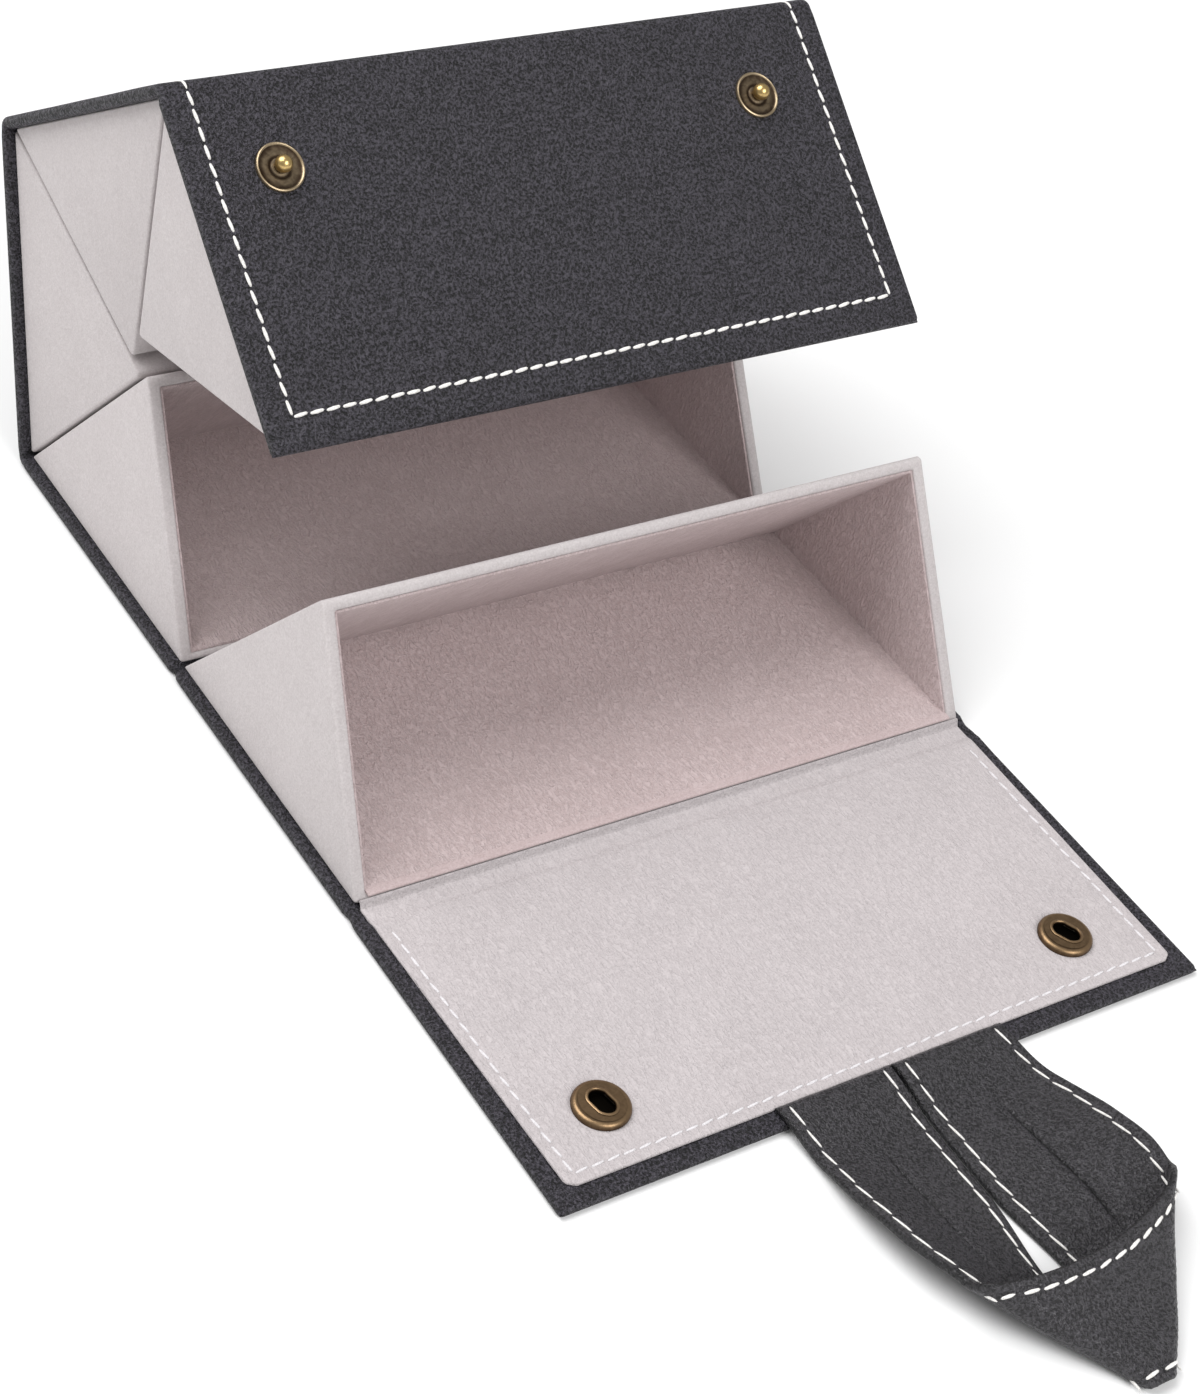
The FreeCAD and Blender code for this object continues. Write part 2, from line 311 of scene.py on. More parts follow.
def from_srgb(*channels):
    """Linear colour from the 0-255 values that a colour picker shows."""
    return tuple(((c / 255 + 0.055) / 1.055) ** 2.4 for c in channels)


# %% [markdown]
# The leather is a dark, soft imitation leather with a fine pebble: short pits less than a
# millimetre across, with a net of ridges between them. The low parts of a fine noise give such
# pits; cell patterns look like fish scales or spots. The grain is partly its own colour and partly
# painted shade: the pits are coloured much darker than the ridge tops, as shade in them would
# make them. The ridge tops are also smoother, where hands have polished them. Seams and cut edges
# get painted shade, nearly black: each sheet stores how much in the point attribute that
# `darkened` writes.

# %% Leather finishes
# colour of the painted shade on seams and cut sides
NEARLY_BLACK = (0.001, 0.001, 0.001)


def make_leather(name, grain_per_metre, grain_mm, dark, light, polish=0.5):
    finish = Finish(name, light, polish, Specular_IOR_Level=0.42)
    pits = finish.spread(finish.noise(grain_per_metre, 1.0, 0.4), 0.26, 0.70)
    fine = finish.spread(finish.noise(grain_per_metre * 2.0, 1.0), 0.3, 0.66)
    net = finish.sum(finish.sum(0.0, pits, 0.76), fine, 0.24)
    finish.raised(finish.noise(38, 2.0), 0.7, 0.5)
    finish.raised(net, grain_mm, 1.0)
    finish.raised(finish.noise(4200, 2.0), 0.035, 0.7)
    shade = finish.sum(net, finish.noise(90, 2.0), 0.16)
    # Painted shade over the real grain: the pits take the dark colour and the ridge tops the light one.
    colour = finish.colours(finish.spread(shade, 0.05, 1.15), dark, light)
    # Painted shade: seams and cut sides, as marked at each point, go nearly black.
    seam = finish.add("ShaderNodeAttribute", attribute_name="painted_shade").outputs["Fac"]
    colour = finish.colours(seam, colour, NEARLY_BLACK)
    return finish.done(colour, finish.spread(shade, 0.05, 1.15, polish + 0.2, polish - 0.06))


leather = make_leather("cover_leather", 1550, 0.60, from_srgb(4, 4, 5), from_srgb(70, 67, 75))
strap_leather = make_leather("strap_leather", 1500, 0.30, from_srgb(22, 21, 23), from_srgb(63, 61, 65), 0.34)

# %% [markdown]
# The lining is a pale, pinkish grey microfibre. It has no visible weave, only a short nap: a
# very fine, soft noise, with a little sheen that brightens it at glancing angles, and patches
# where the nap lies the other way. Inside the compartments the fabric is embossed with long
# wavy streaks, so that finish reads the piece's own UV map, whose v runs up the wall. There the
# same fabric is also coloured darker and pinker than on the outside of the boxes: painted shade
# and painted bounce light of the hollows.

# %% Lining finishes
def make_suede(name, dark, light, nap_mm, streak_mm=0.0, up_the_wall=False):
    finish = Finish(name, light, 0.95, Specular_IOR_Level=0.15, Sheen_Weight=0.12, Sheen_Roughness=0.5)
    nap = finish.noise(2300, 4.0)
    tufts = finish.noise(850, 3.0, 0.8)
    finish.raised(finish.noise(26, 1.0), 0.5, 0.4)
    tone = finish.sum(finish.sum(nap, finish.noise(70, 3.0), 0.25), tufts, 0.5)
    if streak_mm:
        uv = finish.add("ShaderNodeUVMap", uv_map="UVMap").outputs["UV"]
        flat = uv if up_the_wall else finish.where
        stretch = finish.add("ShaderNodeMapping", {"Vector": flat, "Scale": (1.0, 0.36, 1.0)})
        ridges = finish.spread(finish.noise(1250, 2.0, 1.2, stretch.outputs["Vector"]), 0.36, 0.64)
        finish.raised(ridges, streak_mm, 0.9)
        tone = finish.sum(tone, ridges, streak_mm)
    finish.raised(tufts, nap_mm * 1.6, 0.6)
    finish.raised(nap, nap_mm, 0.7)
    return finish.done(finish.colours(finish.spread(tone, 0.45, 1.35), dark, light))


outer_suede = make_suede("box_suede", from_srgb(182, 175, 175), from_srgb(205, 199, 199), 0.09)
# Painted shade: the compartment lining is the same fabric, coloured darker and pinker than the box outside.
shaded_inner_suede = make_suede(
    "compartment_suede_painted_shade", from_srgb(172, 154, 153), from_srgb(202, 186, 186), 0.07, 0.20, up_the_wall=True,
)
flap_suede = make_suede("flap_suede", from_srgb(174, 167, 168), from_srgb(199, 192, 193), 0.08, 0.14)

# %% [markdown]
# The sewing thread is off-white, with a twist too fine to model. The snaps are antique brass:
# brown in the hollows and rubbed bright on rims and tips. Rubbing follows the shape, so each
# turned part carries a point attribute of how rubbed it is, from 0 in a hollow to 1 on a rim.
# Below 0 it is painted shade: the inside of a socket, where no light reaches, is coloured nearly
# black.

# %% Thread and metal finishes
def make_thread(name, pale, bright):
    finish = Finish(name, bright, 0.75, Sheen_Weight=0.3)
    twist = finish.noise(2400, 3.0, 1.5)
    finish.raised(twist, 0.06)
    return finish.done(finish.colours(finish.spread(twist, 0.3, 0.6), pale, bright))


UNLIT_METAL = (0.003, 0.002, 0.001)


def make_metal(name, dark, bright, hollow_roughness, rim_roughness):
    finish = Finish(name, bright, rim_roughness, Metallic=0.95)
    rubbed_and_slot_shade = finish.add("ShaderNodeAttribute", attribute_name="rubbed_and_slot_shade").outputs["Fac"]
    tarnish = finish.noise(700, 5.0, 0.8)
    scratches = finish.noise(3600, 3.0)
    finish.raised(scratches, 0.03, 0.5)
    amount = finish.spread(finish.sum(rubbed_and_slot_shade, tarnish, 0.55), 0.2, 1.25)
    roughness = finish.spread(amount, 0.0, 1.0, hollow_roughness, rim_roughness)
    colour = finish.colours(amount, dark, bright)
    # Painted shade: below 0, inside a socket's slot, the metal is coloured nearly black.
    slot_shade = finish.spread(rubbed_and_slot_shade, -1.0, -0.2)
    return finish.done(finish.colours(slot_shade, UNLIT_METAL, colour), roughness)


thread = make_thread("thread", from_srgb(205, 201, 196), from_srgb(245, 243, 240))
lining_thread = make_thread("lining_thread", from_srgb(200, 196, 198), from_srgb(226, 223, 226))
brass = make_metal("aged_brass", from_srgb(58, 46, 36), from_srgb(176, 158, 130), 0.55, 0.36)
socket_brass = make_metal("socket_brass", from_srgb(56, 42, 31), from_srgb(150, 124, 94), 0.55, 0.38)
ball_brass = make_metal("ball_brass", from_srgb(70, 52, 30), from_srgb(206, 176, 118), 0.5, 0.28)
wire = make_metal("spring_wire", from_srgb(90, 84, 74), from_srgb(205, 198, 184), 0.4, 0.25)

# %% [markdown]
# Each cover panel is leather wrapped round a board: flat, 3 mm thick, with soft rounded side
# edges, and a row of stitches sunk 6.5 mm in from its sides on the outer face. Every panel is
# the same slab. Only its ends differ: at a fold it simply stops, at a free end it is rounded.

# %% Leather panels of the compartments
ROUND = 1.3            # radius of a rounded leather edge
SEW_IN = 6.5           # stitch row, in from the side edges
SEW_IN_END = 7.5       # stitch row, in from a free end
GROOVE = 0.16          # how deep the stitches pull the leather in
FOLD_REACH = 3.0       # a panel stops this far short of its fold, and the fold's strip takes over
LAST_REACH = 1.0       # the last panel stops this far short of the row's end
A_START = 2.0          # the first panel begins here, behind the leather of the flap's fold


def groove_steps(centre, width=0.95):
    return [centre + width * k for k in (-1.0, -0.5, 0.0, 0.5, 1.0)]


def groove(distance, width=0.95):
    return smooth_step(1 - np.abs(distance) / width)


def spaced(*groups, step, low, high):
    """Sorted rows of points from the groups given, with plain steps filled in between."""
    fixed = sorted(set(round(v, 4) for group in groups for v in group))
    plain = [v for v in np.arange(low, high, step) if min(abs(v - f) for f in fixed) > 0.4 * step]
    return np.array(sorted(fixed + plain))


def columns_for(half, radius, sew_in=SEW_IN):
    right = [half - d for d in edge_steps(radius)] + groove_steps(half - sew_in)
    return spaced(right, [-x for x in right], step=6.0, low=-half, high=half)


def soft_waves(x, v, size):
    """Slow unevenness of hand-glued leather, in mm."""
    return size * (
        np.sin(x / 17.0 + 1.3) * np.sin(v / 13.0 + 0.4)
        + 0.6 * np.sin(x / 7.3 - v / 9.1) + 0.4 * np.sin(v / 5.1 + x / 23.0)
    )


leather_columns = columns_for(HALF, ROUND)


def cover_panel(index):
    name = NAMES[index]
    first = A_START if name == "a" else FOLD_REACH
    free_end = name == "e"
    last = PITCH - (LAST_REACH if free_end else FOLD_REACH)
    rows = [[first, last]]
    if free_end:
        rows += [[last - d for d in edge_steps(ROUND)], groove_steps(last - SEW_IN_END)]
    along = spaced(*rows, step=5.0, low=first, high=last)

    def drop(x, v):
        end_gap = last - v if free_end else np.full_like(v, ROUND)
        return edge_drop(ROUND, HALF - np.abs(x), end_gap)

    def fade(v):
        return smooth_step((v - first) / 8) * (1 if free_end else smooth_step((last - v) / 8))

    def outer(x, v):
        row = groove(HALF - np.abs(x) - SEW_IN)
        if free_end:
            row = np.where(v > last - SEW_IN_END, 0, row)
            end_row = groove(last - SEW_IN_END - v) * (np.abs(x) < HALF - SEW_IN + 0.5)
            row = np.maximum(row, end_row)
        return -COVER + drop(x, v) + GROOVE * row + soft_waves(x, v, 0.05) * fade(v)

    piece = slab(
        "leather_panel_" + name, leather_columns, along,
        outer, lambda x, v: -drop(x, v), on_panel(index), leather,
    )
    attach(piece, "compartment_" + name)
    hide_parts("cover_" + name, "board_" + name)
    return last


panel_ends = [cover_panel(index) for index in range(5)]
print("leather panels end at", [round(v, 1) for v in panel_ends])

# %% [markdown]
# Between the panels there is no board, so the leather is thinner and creases. A flat fold is
# pinched from both sides. A rolled fold goes round the fold line. Rows of points stand close
# together where it bends, or it would break into facets.

# %% Leather at the folds between compartments
PINCH_REACH = 2.2      # the pinch reaches this far from the fold line
FLAT_CREASE = 0.75     # how far a flat fold is pinched from outside, and from its two ends
FLAT_DIP, ROLLED_DIP = 0.9, 0.35   # how far the inner face sinks at a fold


def fold_rows(turn):
    straight = [3.0, 2.4, 1.8, 1.35, 1.0, 0.7, 0.45, 0.2]
    if turn:
        bend = list(np.linspace(0, 1, 11))
        return np.array([-s for s in straight] + bend + [1 + s for s in straight[::-1]])
    return np.array([-s for s in straight] + [0.0] + straight[::-1])


def round_fold(index):
    """Places (x, s, h): s below 0 is before the fold, 0 to 1 round it, above 1 after it."""
    before, after = on_panel(index), on_panel(index + 1)
    turn = TURNS[index + 1] - TURNS[index]
    axis_y, axis_z = folds[index + 1]

    def place(x, s, h):
        angle = TURNS[index] + turn * np.clip(s, 0, 1)
        around = points(x, axis_y - h * np.sin(angle), axis_z + h * np.cos(angle))
        if not turn:
            return before(x, PITCH + s, h)
        near = np.where((s < 0)[..., None], before(x, PITCH + s, h), around)
        return np.where((s > 1)[..., None], after(x, s - 1, h), near)

    return place


def fold_strip(index):
    name = "fold_strip_" + NAMES[index] + NAMES[index + 1]
    turn = TURNS[index + 1] - TURNS[index]
    place = round_fold(index)

    def away(s):
        return np.where(s < 0, -s, np.clip(s - 1, 0, None)) if turn else np.abs(s)

    def pinch(s):
        return smooth_step(1 - away(s) / PINCH_REACH)

    def pinched_in(x, s, h):
        return place(x * (1 - (0.15 if turn else FLAT_CREASE) * pinch(s) / HALF), s, h)

    def outer(x, s):
        row = groove(HALF - np.abs(x) - SEW_IN)
        crease = 0.0 if turn else FLAT_CREASE * smooth_step(1 - np.abs(s) / 1.5)
        return -COVER + edge_drop(ROUND, HALF - np.abs(x)) + GROOVE * row + crease

    def inner(x, s):
        return -edge_drop(ROUND, HALF - np.abs(x)) - (ROLLED_DIP if turn else FLAT_DIP) * pinch(s)

    strip = slab(name, leather_columns, fold_rows(turn), outer, inner, pinched_in, leather)
    blend_fold(strip, index)
    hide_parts(name)


def blend_fold(piece, index):
    """Bake a piece's place into its mesh; it is not bent across the fold after panel `index`."""
    axis = np.array(joints["fold_" + NAMES[index] + "_" + NAMES[index + 1]]["pos_m"])
    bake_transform(piece)


for index in range(4):
    fold_strip(index)
print("four fold strips")

# %% [markdown]
# The flap is one more leather panel, with its outer face down on the table and its lining on
# top. It has no compartment, and its front edge is a free end. The strip of leather that joins
# it to compartment A is thin and creased, and lies under the lining.

# %% Leather of the flap and of its fold
flap_low, flap_high = (1000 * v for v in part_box("flap_cover"))
flap_axis = axis_point("flap_fold")
FLAP_TOP = flap_high.z
FLAP_ROUND = 1.15      # radius of the flap's rounded edges
LINING_BED = 0.25      # how far the leather sinks under the lining
flap_front, flap_rear = flap_low.y, flap_high.y
box_front = float(folds[0][0]) + 0.6
fold_back = float(folds[0][0]) + A_START


def narrowed(x, y, z):
    """The leather of the flap is pinched in a little just in front of the box."""
    pinch = 0.5 * np.exp(-(((y - box_front + 1.6) / 1.7) ** 2))
    return points(x * (1 - pinch / HALF), y, z)


def flap_leather():
    rows = [flap_front + d for d in edge_steps(FLAP_ROUND)]
    rows += groove_steps(flap_front + SEW_IN_END) + [flap_rear]
    along = spaced(rows, step=5.0, low=flap_front, high=flap_rear)

    def drop(x, y):
        return edge_drop(FLAP_ROUND, HALF - np.abs(x), y - flap_front)

    def under(x, y):
        side = np.where(y < flap_front + SEW_IN_END, 0, groove(HALF - np.abs(x) - SEW_IN))
        front = groove(y - flap_front - SEW_IN_END) * (np.abs(x) < HALF - SEW_IN + 0.5)
        return drop(x, y) + GROOVE * np.maximum(side, front)

    def over(x, y):
        inset = np.minimum(HALF - np.abs(x), y - flap_front)
        return FLAP_TOP - drop(x, y) - LINING_BED * smooth_step((inset - 3.2) / 1.2)

    piece = slab(
        "leather_panel_flap", columns_for(HALF, FLAP_ROUND), along, under, over, narrowed, leather, 0,
    )
    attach(piece, "flap")
    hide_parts("flap_cover", "flap_board")


def flap_fold_leather():
    along = np.array(sorted(set(np.round(np.concatenate([
        np.linspace(flap_rear, fold_back, 27), flap_axis[0] + np.linspace(-1.6, 1.6, 9),
    ]), 3))))

    def over(x, y):
        share = (y - flap_rear) / (fold_back - flap_rear)
        ends = FLAP_TOP + (COVER - FLAP_TOP) * share
        margin = edge_drop(FLAP_ROUND, HALF - np.abs(x))
        covered = smooth_step((HALF - np.abs(x) - 4.0) / 1.0)
        sink = smooth_step((y - box_front + 6.5) / 2.0) * smooth_step((fold_back - y) / 1.0)
        trough = (0.5 + 0.6 * covered) * sink
        return ends - margin * (1 - 0.4 * sink) - trough - LINING_BED * covered * (1 - sink)

    def under(x, y):
        crease = smooth_step(1 - np.abs(y - box_front + 1.8) / 1.8)
        return edge_drop(FLAP_ROUND, HALF - np.abs(x)) * (1 - 0.5 * crease) + 0.35 * crease

    piece = slab(
        "fold_strip_flap_leather", columns_for(HALF, FLAP_ROUND), along, under, over, narrowed, leather,
    )
    blend_flap(piece)
    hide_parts("fold_strip_flap")


def blend_flap(piece):
    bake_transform(piece)


flap_leather()
flap_fold_leather()
print("flap from y", round(flap_front, 1), "to", round(flap_rear, 1))

# %% [markdown]
# The flap's lining is one sheet that runs back over the fold to the floor of compartment A. It
# is sewn down near its edge, dips where the flap turns, and its cut edge is soft. It is drawn
# as one slab so that the fabric is unbroken across the fold.

# %% Lining of the flap
lining_low, lining_high = (1000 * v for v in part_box("flap_lining"))
LINING_HALF = lining_high.x
LINING_SEW = 2.85      # stitch row, in from the lining's edge
LINING_ROUND = 0.45    # radius of its cut edge
TROUGH = 0.42          # how far it dips in front of the box
CORNER = 2.6           # radius of its front corners, seen from above
FLOOR = 1.2            # thickness of a compartment's floor
FLOOR_TOP = COVER + FLOOR + 0.65
BOX_HALF = 1000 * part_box("floor_b")[1].x


def lining_shape(x, y, z):
    """The lining's front corners are rounded, and at the fold it is as wide as the box."""
    wide = np.clip((y - flap_front) / (box_front - flap_front), 0, 1)
    into = np.clip(CORNER - LINING_HALF + np.abs(x), 0, CORNER)
    corner = (CORNER - np.sqrt(CORNER ** 2 - into ** 2)) * (1 - smooth_step((y - lining_low.y) / 9))
    return points(x * (1 + wide * (BOX_HALF - 0.8 - LINING_HALF) / LINING_HALF), y + corner, z)


def flap_lining():
    front, rear = lining_low.y, box_front - 0.2
    right = [LINING_HALF - d for d in edge_steps(LINING_ROUND)]
    right += groove_steps(LINING_HALF - LINING_SEW, 0.8)
    across = spaced(right, [-x for x in right], step=4.0, low=-LINING_HALF, high=LINING_HALF)
    hinge = list(flap_axis[0] + np.linspace(-2.4, 2.4, 13)) + list(np.linspace(box_front - 7, rear, 27))
    rows = [front + d for d in edge_steps(LINING_ROUND)] + groove_steps(front + LINING_SEW, 0.8)
    along = spaced(rows, hinge, step=3.0, low=front, high=rear)
    top = lining_high.z + 0.05

    def centre_line(y):
        """Top of the lining: level on the flap, a shallow trough, then up to the floor of A."""
        trough = smooth_step((y - box_front + 7.2) / 2.0)
        climb = smooth_step((y - box_front + 1.5) / 1.2)
        tucked = smooth_step((y - rear + 0.6) / 0.6)
        rise = (FLOOR_TOP - 0.1 - top + TROUGH) * climb
        return top - TROUGH * trough + rise - 0.5 * tucked ** 2

    def over(x, y):
        inset = [LINING_HALF - np.abs(x), y - front]
        sewn = np.maximum(
            groove(inset[0] - LINING_SEW, 0.8) * (y > front + LINING_SEW - 0.5) * (y < flap_rear),
            groove(inset[1] - LINING_SEW, 0.8) * (inset[0] > LINING_SEW - 0.5),
        )
        pillow = 0.12 * smooth_step((np.minimum(*inset) - LINING_SEW) / 3) * (y < flap_rear)
        return centre_line(y) - edge_drop(LINING_ROUND, *inset) - 0.22 * sewn + pillow

    def under(x, y):
        return np.minimum(centre_line(y) - 0.5, over(x, y) - 0.08)

    piece = slab("flap_lining_sheet", across, along, under, over, lining_shape, flap_suede)
    blend_flap(piece)
    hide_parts("flap_lining", "fold_lining_flap")
    print("lining sheet", round(2 * LINING_HALF, 1), "x", round(rear - front, 1), "mm")


flap_lining()

# %% [markdown]
# A compartment is a three-sided box of boards covered in lining: floor, back wall and two
# triangular end walls that lean in a little, open on the slanting front. Covered boards have
# one soft edge radius everywhere, so the box is a closed solid of a few big faces, and a bevel
# rounds all its edges at once. Inside it lies the liner, a separate thin sheet: its edge shows
# as a fine ridge just inside the rim.

# %% Sizes of the compartments
FRONT_SLOPE, BACK_SLOPE = math.radians(56.5), math.radians(51.5)
FRONT_RUN, BACK_RUN = 1 / math.tan(FRONT_SLOPE), 1 / math.tan(BACK_SLOPE)
FRONT_SIN, BACK_SIN = math.sin(FRONT_SLOPE), math.sin(BACK_SLOPE)
BACK, END_WALL = 2.8, 3.0          # thickness of the walls
TIP_FLAT = 0.85        # the sharp top edge is taken down by this much
BOX_GAP = 1000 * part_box("floor_b")[0].y - float(folds[1][0])
WALL_LEAN = 2.7        # how far an end wall leans in over its full height
LEAN = WALL_LEAN / ((PITCH - 2 * BOX_GAP) / (FRONT_RUN + BACK_RUN))
FOOT = 0.02            # a box stands this far above the leather
RIM_ROUND = 0.55       # radius of a box's covered edges
LINER_ROUND = 0.16     # radius of the liner's cut edges
LINER_GAP, LINER_SHEET, LINER_SUNK = 0.05, 0.6, 0.5   # from the wall, its thickness, below the rim
LAST_GAP = 4.0         # the last box stops further from its end, so that it clears the top of A
print("box half width", round(BOX_HALF, 2), "gap to the folds", round(BOX_GAP, 2))


# %% Box and liner of one compartment
def ring(half, outline):
    """Two ends of a prism whose end walls lean in: right end, then left end."""
    return [(side * (half - LEAN * h), v, h) for side in (1, -1) for v, h in outline]


def front_at(h):
    """Where the slanting open front is at height h."""
    return BOX_GAP + h * FRONT_RUN


def bevelled(name, local, faces, width, place, material, segments=3):
    """Closed solid with rounded edges, and a UV map in metres whose v runs up the walls."""
    work = bmesh.new()
    corners = [work.verts.new(Vector(p) / 1000) for p in local]
    for face in faces:
        work.faces.new([corners[i] for i in face])
    bmesh.ops.recalc_face_normals(work, faces=work.faces)
    bmesh.ops.bevel(
        work, geom=work.edges[:], offset=width / 1000, segments=segments, profile=0.5, affect="EDGES",
    )
    bmesh.ops.triangulate(work, faces=[f for f in work.faces if len(f.verts) > 4])
    uv = work.loops.layers.uv.new("UVMap")
    for face in work.faces:
        side_wall = abs(face.normal.x) > 0.7
        for loop in face.loops:
            x, v, h = loop.vert.co
            loop[uv].uv = (v, h) if side_wall else (x, v if abs(face.normal.z) > 0.9 else math.hypot(v, h))
    for vert in work.verts:
        x, v, h = (1000 * c for c in vert.co)
        vert.co = Vector(place(x, v, h).tolist()) / 1000
    mesh = bpy.data.meshes.new(name)
    work.to_mesh(mesh)
    work.free()
    return put_in_scene(name, mesh, material, 40)


def compartment_box(index):
    name = NAMES[index]
    foot = PITCH - (LAST_GAP if name == "e" else BOX_GAP)
    inner_foot = foot - BACK / BACK_SIN
    top = (foot - BOX_GAP) / (FRONT_RUN + BACK_RUN) - TIP_FLAT
    meet = (inner_foot - BOX_GAP) / (FRONT_RUN + BACK_RUN)
    outside = [(front_at(FOOT), FOOT), (foot, FOOT), (foot - top * BACK_RUN, top), (front_at(top), top)]
    hollow = [(front_at(FLOOR), FLOOR), (inner_foot - FLOOR * BACK_RUN, FLOOR), (front_at(meet), meet)]
    local = ring(BOX_HALF, outside) + ring(BOX_HALF - END_WALL, hollow)
    faces = [
        (0, 1, 5, 4), (1, 2, 6, 5), (2, 3, 7, 6),
        (0, 1, 2, 3), (4, 5, 6, 7),
        (0, 4, 11, 8), (0, 3, 10, 8), (4, 7, 13, 11), (3, 7, 13, 10),
        (8, 9, 12, 11), (9, 10, 13, 12), (8, 9, 10), (11, 12, 13),
    ]
    box = bevelled("box_" + name, local, faces, RIM_ROUND, on_panel(index), outer_suede)
    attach(box, "compartment_" + name)
    walls = [part + name for part in ("floor_", "back_wall_", "left_wall_", "right_wall_")]
    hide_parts(*walls)

    def hollow_at(gap, sunk):
        """Outline of the hollow, pulled in by a gap from its walls and sunk below the rim."""
        low = FLOOR + gap
        back_foot = inner_foot - gap / BACK_SIN
        start = BOX_GAP + sunk / FRONT_SIN
        high = (back_foot - start) / (FRONT_RUN + BACK_RUN)
        corners = [(start + low * FRONT_RUN, low), (back_foot - low * BACK_RUN, low)]
        return corners + [(start + high * FRONT_RUN, high)]

    inner = LINER_GAP + LINER_SHEET
    local = ring(BOX_HALF - END_WALL - LINER_GAP, hollow_at(LINER_GAP, LINER_SUNK))
    local += ring(BOX_HALF - END_WALL - inner, hollow_at(inner, LINER_SUNK))
    faces = [
        (0, 1, 4, 3), (1, 2, 5, 4), (0, 1, 2), (3, 4, 5),
        (6, 7, 10, 9), (7, 8, 11, 10), (6, 7, 8), (9, 10, 11),
        (0, 3, 9, 6), (0, 2, 8, 6), (3, 5, 11, 9), (2, 5, 11, 8),
    ]
    liner = bevelled("liner_" + name, local, faces, LINER_ROUND, on_panel(index), shaded_inner_suede, 2)
    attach(liner, "compartment_" + name)
    return top


heights = [compartment_box(index) for index in range(5)]


def floor_edge():
    """The lining of A's floor comes forward over the rim, to meet the lining of the flap."""
    half = BOX_HALF - END_WALL - 0.15
    along = np.array([box_front + v for v in (0.0, 0.06, 0.2, 0.4, 1.0, 1.6, 2.2)])
    across = spaced([half, -half], step=8.0, low=-half, high=half)
    piece = slab(
        "lining_floor_edge_a", across, along, lambda x, y: np.full_like(x, FLOOR_TOP - 0.5),
        lambda x, y: FLOOR_TOP + 0.02 - edge_drop(0.4, y - box_front), flat_in_frame, shaded_inner_suede,
    )
    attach(piece, "compartment_a")


floor_edge()
print("box heights", [round(h, 1) for h in heights])

# %% [markdown]
# The snaps are turned metal parts, so each is a profile swung round its own middle. Every ring
# of the profile says how far out and how high it lies, and how rubbed the metal is there. The
# studs sit on the last panel with their ball ends outwards. The sockets sit on the flap's
# lining. Their opening isn't round: it is a slot with a waist, so the rings nearest the middle
# change from a circle to that outline.

# %% Turned snap parts
TURNED_STEPS = 48


def turned_part(rings, centre, place, tilt=0.0, outline=None):
    """Points, faces and values of wear and of painted slot shade of a closed turned part.

    Each ring is a radius, a height and how rubbed it is; below 0 it is painted shade. Near a slot
    comes the share of the slot's outline, and the radius is then how far the ring stands outside
    that outline.
    """
    angle = np.linspace(0, 2 * math.pi, TURNED_STEPS, endpoint=False)
    coords, rubbed_and_shade_values = [], []
    for radius, height, rubbed_and_slot_shade, *slot_share in rings:
        r = np.full(TURNED_STEPS, float(radius))
        for share in slot_share:
            r = (1 - share) * r + share * (outline(angle) + radius)
        x = centre[0] + r * np.cos(angle + tilt)
        v = centre[1] + r * np.sin(angle + tilt)
        coords.append(place(x, v, height))
        rubbed_and_shade_values += [rubbed_and_slot_shade] * TURNED_STEPS
    return np.concatenate(coords), ring_stack_faces(len(rings), TURNED_STEPS), rubbed_and_shade_values


def snap_piece(name, parts, material, body, node):
    """One object from a pair of turned parts, on its body, in place of its node."""
    coords, faces, rubbed_and_shade_values = [], [], []
    for part_coords, part_faces, part_rubbed_and_shade in parts:
        start = sum(len(c) for c in coords)
        coords.append(part_coords)
        faces += [[start + i for i in face] for face in part_faces]
        rubbed_and_shade_values += part_rubbed_and_shade
    piece = finish_mesh(name, np.concatenate(coords), faces, material, 42)
    values = piece.data.attributes.new("rubbed_and_slot_shade", "FLOAT", "POINT")
    places = np.concatenate(coords) / 1000
    found = np.zeros(3 * len(piece.data.vertices))
    piece.data.vertices.foreach_get("co", found)
    for k, spot in enumerate(found.reshape(-1, 3)):
        nearest = int(np.argmin(((places - spot) ** 2).sum(axis=1)))
        values.data[k].value = rubbed_and_shade_values[nearest]
    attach(piece, body)
    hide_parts(node)


STUD_ALONG = PITCH - 62.0          # along the last panel; the studs sit 62 mm from its end
SNAP_SHIFT, SNAP_SPREAD = -1.7, 64.0
SNAP_CENTRES = (SNAP_SHIFT - SNAP_SPREAD, SNAP_SHIFT + SNAP_SPREAD)
SLOT_TILT = (math.radians(100), math.radians(117))
last_panel = on_panel(4)


def outside_last_panel(x, v, h):
    return last_panel(x, v, -COVER - h)


DISH = [
    (0.02, -0.3, 0.1), (5.3, -0.3, 0.1), (5.7, 0.0, 0.3), (5.72, 0.45, 0.8), (5.6, 0.78, 1.0),
    (5.36, 0.9, 1.0), (5.12, 0.8, 0.8), (4.95, 0.5, 0.1), (4.75, 0.36, 0.0), (3.9, 0.36, 0.25),
    (3.2, 0.42, 0.3), (2.85, 0.42, 0.2), (2.6, 0.3, 0.0), (2.3, 0.28, 0.0), (2.1, 0.5, 0.25),
    (1.75, 0.62, 0.4), (0.02, 0.62, 0.2),
]
BALL_R, BALL_HEIGHT = 2.0, 2.4
POST = [(0.02, 0.1, 0), (1.55, 0.1, 0), (1.5, 0.7, 0.1), (1.3, 1.05, 0.15), (1.35, 1.25, 0.2)]
POST += [
    (BALL_R * math.sin(a), BALL_HEIGHT - BALL_R * math.cos(a), 0.35 + 0.65 * a / math.pi)
    for a in np.linspace(math.radians(48), math.radians(178), 13)
]
